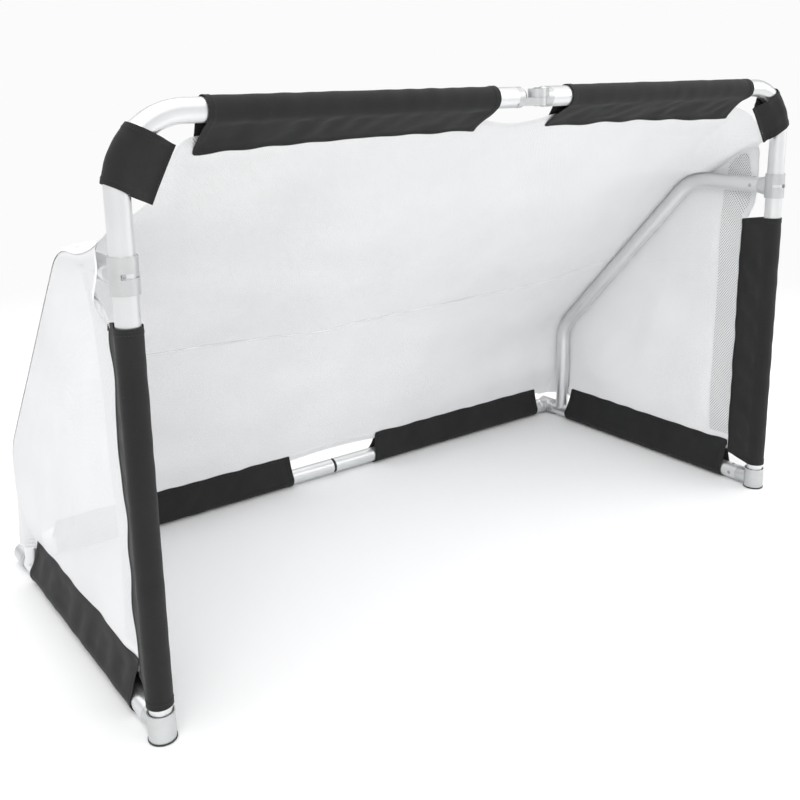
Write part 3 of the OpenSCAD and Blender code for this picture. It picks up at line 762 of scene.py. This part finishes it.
ROOF = {}
for side, nm in ((-1, "left"), (1, "right")):
    P, edge_k, w1, w2 = roof_points(side)
    N = normals(P)
    if N[20, 60, 2] < 0:
        N = -N
    g1, g2 = waves2(5, 0.28, 0.75, 10), waves2(6, 0.10, 0.30, 12, lean=1.2)
    X, L = np.broadcast_arrays(side * cx[:, None], T[None, :] * MID_LEN)
    P = P + N * (edge_k * (0.0050 * g1(X, L) + 0.0013 * g2(X, L)))[..., None]
    P = mirrored(P, side)
    P = ride_flaps(P, [SLEEVES["crossbar_sleeve", side], SLEEVES["rear_sleeve", side]])
    UV = np.stack(np.broadcast_arrays(side * cx[:, None], T[None, :] * MID_LEN), -1)
    ob = grid(f"roof_net_{nm}_mesh", P, UV, NET, flip=side > 0)
    ROOF[side] = P
    parts = []
    NN = normals(P)
    if NN[20, 60, 2] < 0:
        NN = -NN
    # the joint between the roof panel and the back panel
    j = int(round(SEAM_T * (NT - 1)))
    across = P[:, j + 1] - P[:, j - 1]
    for lift, tag in ((0.0007, "outer"), (-0.0007, "inner")):
        parts.append(ribbon(f"net_joint_{tag}_{nm}", P[:, j] + NN[:, j] * lift, across, 0.0048, TAPE))
    # binding along the corner seam with the side net, over the arm
    line = P[-1, :-16] + NN[-1, :-16] * 0.0009
    parts.append(ribbon(f"net_corner_binding_{nm}", line, P[-1, :-16] - P[-2, :-16], 0.009, TAPE, arch=0.0006, lift=NN[-1, :-16], n=7))
    # bindings on the two free edges at the middle
    i = int(np.searchsorted(cx, 0.098))
    parts.append(ribbon(f"net_front_binding_{nm}", P[: i + 1, 1] + NN[: i + 1, 1] * 0.0006, P[: i + 1, 2] - P[: i + 1, 0], 0.008, TAPE))
    i = int(np.searchsorted(cx, 0.132))
    parts.append(ribbon(f"net_rear_binding_{nm}", P[: i + 1, -2] + NN[: i + 1, -2] * 0.0006, P[: i + 1, -1] - P[: i + 1, -3], 0.008, TAPE))
    for o in [ob] + parts:
        thick = 0.0006 if o is not ob else 0.0
        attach(o, f"upper_{nm}")
        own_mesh(o)
        if thick:
            thicken(o, thick)
    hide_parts(f"roof_net_{nm}")
    area = float(np.linalg.norm(np.cross(np.diff(P, axis=0)[:, :-1], np.diff(P, axis=1)[:-1]), axis=-1).sum())
    flat = (round(float(HW + 0.020), 3), round(float(MID_LEN + 0.02), 3))
    BOUND[f"roof_net_{nm}"] = (flat, area)

# side nets: from the sleeves' flaps on the post and base up to the seam over the arm
NA, NB = 130, 70
for side, nm in ((-1, "left"), (1, "right")):
    seam = side_profile(EDGE, side)
    seam = np.column_stack([seam[:, 0], seam[:, 1]])
    seam[:, 1] -= 0.006 * smooth(0.90, 1.0, T)
    seam[:, 0] = tuck(seam[:, 0], seam[:, 1])
    seam_end = seam[-1]  # just above the rear corner's casting
    outer, _ = resample(seam, NA)
    edge_pts = ([(0.0475, 0.725), (0.056, 0.698), (0.072, 0.672), (0.081, 0.652), (0.079, 0.637), (0.069, 0.625)] if side < 0 else
                [(0.056, 0.765), (0.0545, 0.730), (0.056, 0.690), (0.060, 0.655), (0.066, 0.632), (0.066, 0.622)])
    inner_pts = spline([tuple(seam[0] - np.array([0, 0.004])), *edge_pts], 8).tolist()
    inner_pts += spline([(0.058, 0.612), (0.046, 0.600), (0.045, 0.560), (0.045, 0.300), (0.045, 0.125), (0.055, 0.086), (0.085, 0.066),
                         (0.130, BZ + 0.045), (0.350, BZ + 0.045), (0.560, BZ + 0.045), (0.585, BZ + 0.047), (0.610, BZ + 0.045), (0.640, BZ + 0.041), tuple(seam_end)], 10).tolist()
    inner_line = np.array(inner_pts)
    # spread the inner line so that rows meet the seam squarely
    inner, _ = resample(inner_line, NA)
    b = np.linspace(0, 1, NB)
    YZ = inner[:, None, :] * (1 - b)[None, :, None] + outer[:, None, :] * b[None, :, None]
    gap = np.linalg.norm(outer - inner, axis=1)
    dist = gap[:, None] * (1 - b)[None, :]
    o = EDGE - dist
    x_arm = np.sqrt(np.clip(OFF**2 - np.clip(o, 0, None) ** 2, 0, None))
    run = np.clip((dist - EDGE) / np.maximum(gap[:, None] - EDGE - 0.030, 0.02), 0, 1)
    ease = 1 - run
    # at the collar the net stays outside the arm right up to its free edge
    hold = smooth(0.600, 0.660, inner[:, 1])[:, None] * (inner[:, 0] < 0.09)[:, None]
    hold = np.maximum(hold, smooth(0.600, 0.640, inner[:, 0])[:, None])
    ease = np.maximum(ease, hold * (1 - 0.12 * run))
    X = HW + x_arm * ease
    yy, zz = YZ[..., 0], YZ[..., 1]
    # low down behind the base sleeve the net still passes outside the arm's upright
    X = np.where(zz < 0.24, np.maximum(X, HW + 0.0006 + np.sqrt(np.clip(OFF**2 - (yy - AY) ** 2, 0, None))), X)
    s1, s2 = waves2(15 + side, 0.18, 0.5, 10), waves2(25 + side, 0.06, 0.16, 12, lean=0.6)
    mask = smooth(0.02, 0.16, dist) * smooth(0.03, 0.16, gap[:, None] * b[None, :])
    X = X + mask * (0.0035 * s1(yy, zz) + 0.0010 * s2(yy, zz) - 0.006)
    P = np.stack([X, yy, zz], -1)
    P = mirrored(P, side)
    P = ride_flaps(P, [SLEEVES["post_sleeve", side], SLEEVES["base_sleeve", side]])
    UV = np.stack([yy, zz], -1)
    ob = grid(f"side_net_{nm}_mesh", P, UV, NET, flip=side < 0)
    k = int(np.argmin(np.abs(inner[:, 1] - 0.628) + (inner[:, 0] > 0.09) * 9))
    NN = normals(P)
    if NN[NA // 2, NB // 2, 0] * side < 0:
        NN = -NN
    tape = ribbon(f"side_net_binding_{nm}", P[: k + 1, 0] + NN[: k + 1, 0] * 0.0006 + (P[: k + 1, 1] - P[: k + 1, 0]) * 0.4,
                  P[: k + 1, 1] - P[: k + 1, 0], 0.007, TAPE)
    thicken(tape, 0.0006)
    # the net is doubled along its front edge: a second layer on the inner face beside the post
    zz_ = np.linspace(0.105, 0.772, 110)
    y0 = np.interp(zz_, [0.105, 0.632, 0.650, 0.700, 0.772], [0.0768, 0.0768, 0.070, 0.064, 0.084] if side > 0 else [0.0768, 0.0768, 0.090, 0.074, 0.088])
    y1 = np.interp(zz_, [0.105, 0.60, 0.70, 0.740, 0.772], [0.128, 0.131, 0.136, 0.128, 0.094])
    top = np.interp(y1, outer[:, 0][: NA // 3], outer[:, 1][: NA // 3]) - 0.006
    zz_ = np.minimum(zz_, top)
    bb = np.linspace(0, 1, 14)
    Y_ = y0[:, None] * (1 - bb) + y1[:, None] * bb
    Z_ = np.repeat(zz_[:, None], 14, 1)
    flatP = np.stack([(P[..., 1] - YP).ravel(), P[..., 2].ravel()], -1)
    near = np.stack([Y_.ravel(), Z_.ravel()], -1)
    d2 = ((near[:, None, :] - flatP[None]) ** 2).sum(-1)
    wgt = np.exp(-d2 / (2 * 0.0045**2)) + 1e-30
    Xs = ((wgt * P[..., 0].ravel()[None]).sum(1) / wgt.sum(1)).reshape(Y_.shape)
    # the hem's holes are painted dark grey: painted shade, not a colour of the net
    hem = grid(f"side_net_hem_{nm}", np.stack([Xs - side * 0.0016, Y_ + YP, Z_], -1), np.stack([Y_, Z_], -1), HEM, flip=side < 0)
    for o_ in (ob, tape, hem):
        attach(o_, f"side_{nm}")
    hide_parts(f"side_net_{nm}")
    area = float(np.linalg.norm(np.cross(np.diff(P, axis=0)[:, :-1], np.diff(P, axis=1)[:-1]), axis=-1).sum())
    BOUND[f"side_net_{nm}"] = area


# ---------------------------------------------------------------- stage, light and camera
def floor_material():
    m = Mat("pale floor")
    co = m.obj()
    a, b = m.noise(co, 1.2, 3.0), m.noise(co, 60.0, 3.0)
    m.set(Base_Color=m.mixc(a, (0.915, 0.915, 0.918), (0.935, 0.935, 0.935)), Roughness=m.rng(b, 0.3, 0.7, 0.7, 0.8))
    m.b.inputs["Specular IOR Level"].default_value = 0.1
    m.set(Normal=m.bump(b, 0.05, 0.0004))
    # far out the floor fades into the pale backdrop
    x, y, _ = m.xyz(co)
    r = m.math("SQRT", m.math("ADD", m.math("MULTIPLY", x, x), m.math("MULTIPLY", y, y)))
    far = m.t.nodes.new("ShaderNodeEmission")
    far.inputs["Color"].default_value, far.inputs["Strength"].default_value = (1, 1, 1, 1), 0.965
    both = m.t.nodes.new("ShaderNodeMixShader")
    m.put(both.inputs[0], m.rng(r, 0.9, 3.2, kind="SMOOTHSTEP"))
    m.t.links.new(m.b.outputs[0], both.inputs[1])
    m.t.links.new(far.outputs[0], both.inputs[2])
    m.t.links.new(both.outputs[0], m.out.inputs[0])
    return m.m


me = bpy.data.meshes.new("floor")
k = np.linspace(-1, 1, 9)
gx, gy = np.meshgrid(np.sign(k) * np.abs(k) ** 1.6 * 60, np.sign(k) * np.abs(k) ** 1.6 * 60, indexing="ij")
floor = grid("floor", np.stack([gx, gy, 0 * gx - 0.0002], -1), np.stack([gx, gy], -1), floor_material())

world = bpy.data.worlds.new("studio")
bpy.context.scene.world = world
world.use_nodes = True
wt = world.node_tree
wt.nodes.clear()
wo = wt.nodes.new("ShaderNodeOutputWorld")
bg = wt.nodes.new("ShaderNodeBackground")
bg.inputs["Color"].default_value = (1.0, 1.0, 1.0, 1)
bg.inputs["Strength"].default_value = 0.965
env = wt.nodes.new("ShaderNodeBackground")
env.inputs["Strength"].default_value = 1.32
tc = wt.nodes.new("ShaderNodeTexCoord")
sx = wt.nodes.new("ShaderNodeSeparateXYZ")
wt.links.new(tc.outputs["Generated"], sx.inputs[0])
ramp = wt.nodes.new("ShaderNodeValToRGB")
ramp.color_ramp.interpolation = "EASE"
ramp.color_ramp.elements[0].position, ramp.color_ramp.elements[0].color = 0.0, (0.75, 0.75, 0.76, 1)
ramp.color_ramp.elements[1].position, ramp.color_ramp.elements[1].color = 0.85, (1, 1, 1, 1)
e = ramp.color_ramp.elements.new(0.22)
e.color = (0.42, 0.43, 0.44, 1)
wt.links.new(sx.outputs[2], ramp.inputs[0])
away = wt.nodes.new("ShaderNodeVectorMath")
away.operation = "DOT_PRODUCT"
away.inputs[1].default_value = (0.59, 0.81, 0.0)
wt.links.new(tc.outputs["Generated"], away.inputs[0])
shade = wt.nodes.new("ShaderNodeMapRange")
shade.interpolation_type = "SMOOTHSTEP"
for i_, v_ in enumerate((0.05, 0.75, 1.12, 0.66)):
    shade.inputs[i_ + 1].default_value = v_
wt.links.new(away.outputs["Value"], shade.inputs[0])
dim = wt.nodes.new("ShaderNodeVectorMath")
dim.operation = "SCALE"
wt.links.new(ramp.outputs[0], dim.inputs[0])
wt.links.new(shade.outputs[0], dim.inputs["Scale"])
wt.links.new(dim.outputs[0], env.inputs["Color"])
lp = wt.nodes.new("ShaderNodeLightPath")
mix = wt.nodes.new("ShaderNodeMixShader")
wt.links.new(lp.outputs["Is Camera Ray"], mix.inputs[0])
wt.links.new(env.outputs[0], mix.inputs[1])
wt.links.new(bg.outputs[0], mix.inputs[2])
wt.links.new(mix.outputs[0], wo.inputs[0])


def area_light(name, at, to, size, power):
    d = bpy.data.lights.new(name, "AREA")
    d.shape, d.size, d.size_y, d.energy = "RECTANGLE", size[0], size[1], power
    o = bpy.data.objects.new(name, d)
    bpy.context.scene.collection.objects.link(o)
    o.location = at
    o.rotation_mode = "QUATERNION"
    o.rotation_quaternion = (Vector(to) - Vector(at)).to_track_quat("-Z", "Y")
    return o


area_light("key", (-2.4, -3.0, 2.9), (0, 0, 0.4), (2.6, 2.2), 34)
area_light("fill", (3.0, -2.2, 2.0), (0.2, 0, 0.4), (2.2, 2.2), 30)
area_light("top", (0.2, 0.4, 3.6), (0, 0.05, 0), (3.2, 2.6), 22)
area_light("back", (-1.8, 3.2, 2.2), (-0.2, 0, 0.5), (2.4, 1.8), 13)

yaw, pitch, roll = 0.6312, 0.2379, 0.0174
fwd = np.array([math.sin(yaw) * math.cos(pitch), math.cos(yaw) * math.cos(pitch), -math.sin(pitch)])
right = np.array([math.cos(yaw), -math.sin(yaw), 0])
down = np.cross(fwd, right)
r2 = math.cos(roll) * right + math.sin(roll) * down
d2 = -math.sin(roll) * right + math.cos(roll) * down
cam = bpy.data.objects.new("camera", bpy.data.cameras.new("camera"))
bpy.context.scene.collection.objects.link(cam)
M = Matrix.Identity(4)
for i in range(3):
    M[i][0], M[i][1], M[i][2] = r2[i], -d2[i], -fwd[i]
loc = np.array([-1305.5623, -1362.1029, 1049.4154]) * 0.911 / 1000 + np.array([0, YP, 0])
for i in range(3):
    M[i][3] = loc[i]
cam.matrix_world = M
cam.data.sensor_width = 36
cam.data.lens = 982.0271 / 800 * 36
cam.data.shift_x, cam.data.shift_y = 0.0, -0.1125
cam.data.clip_start, cam.data.clip_end = 0.05, 300
bpy.context.scene.camera = cam
bpy.context.scene.view_settings.view_transform = "Standard"
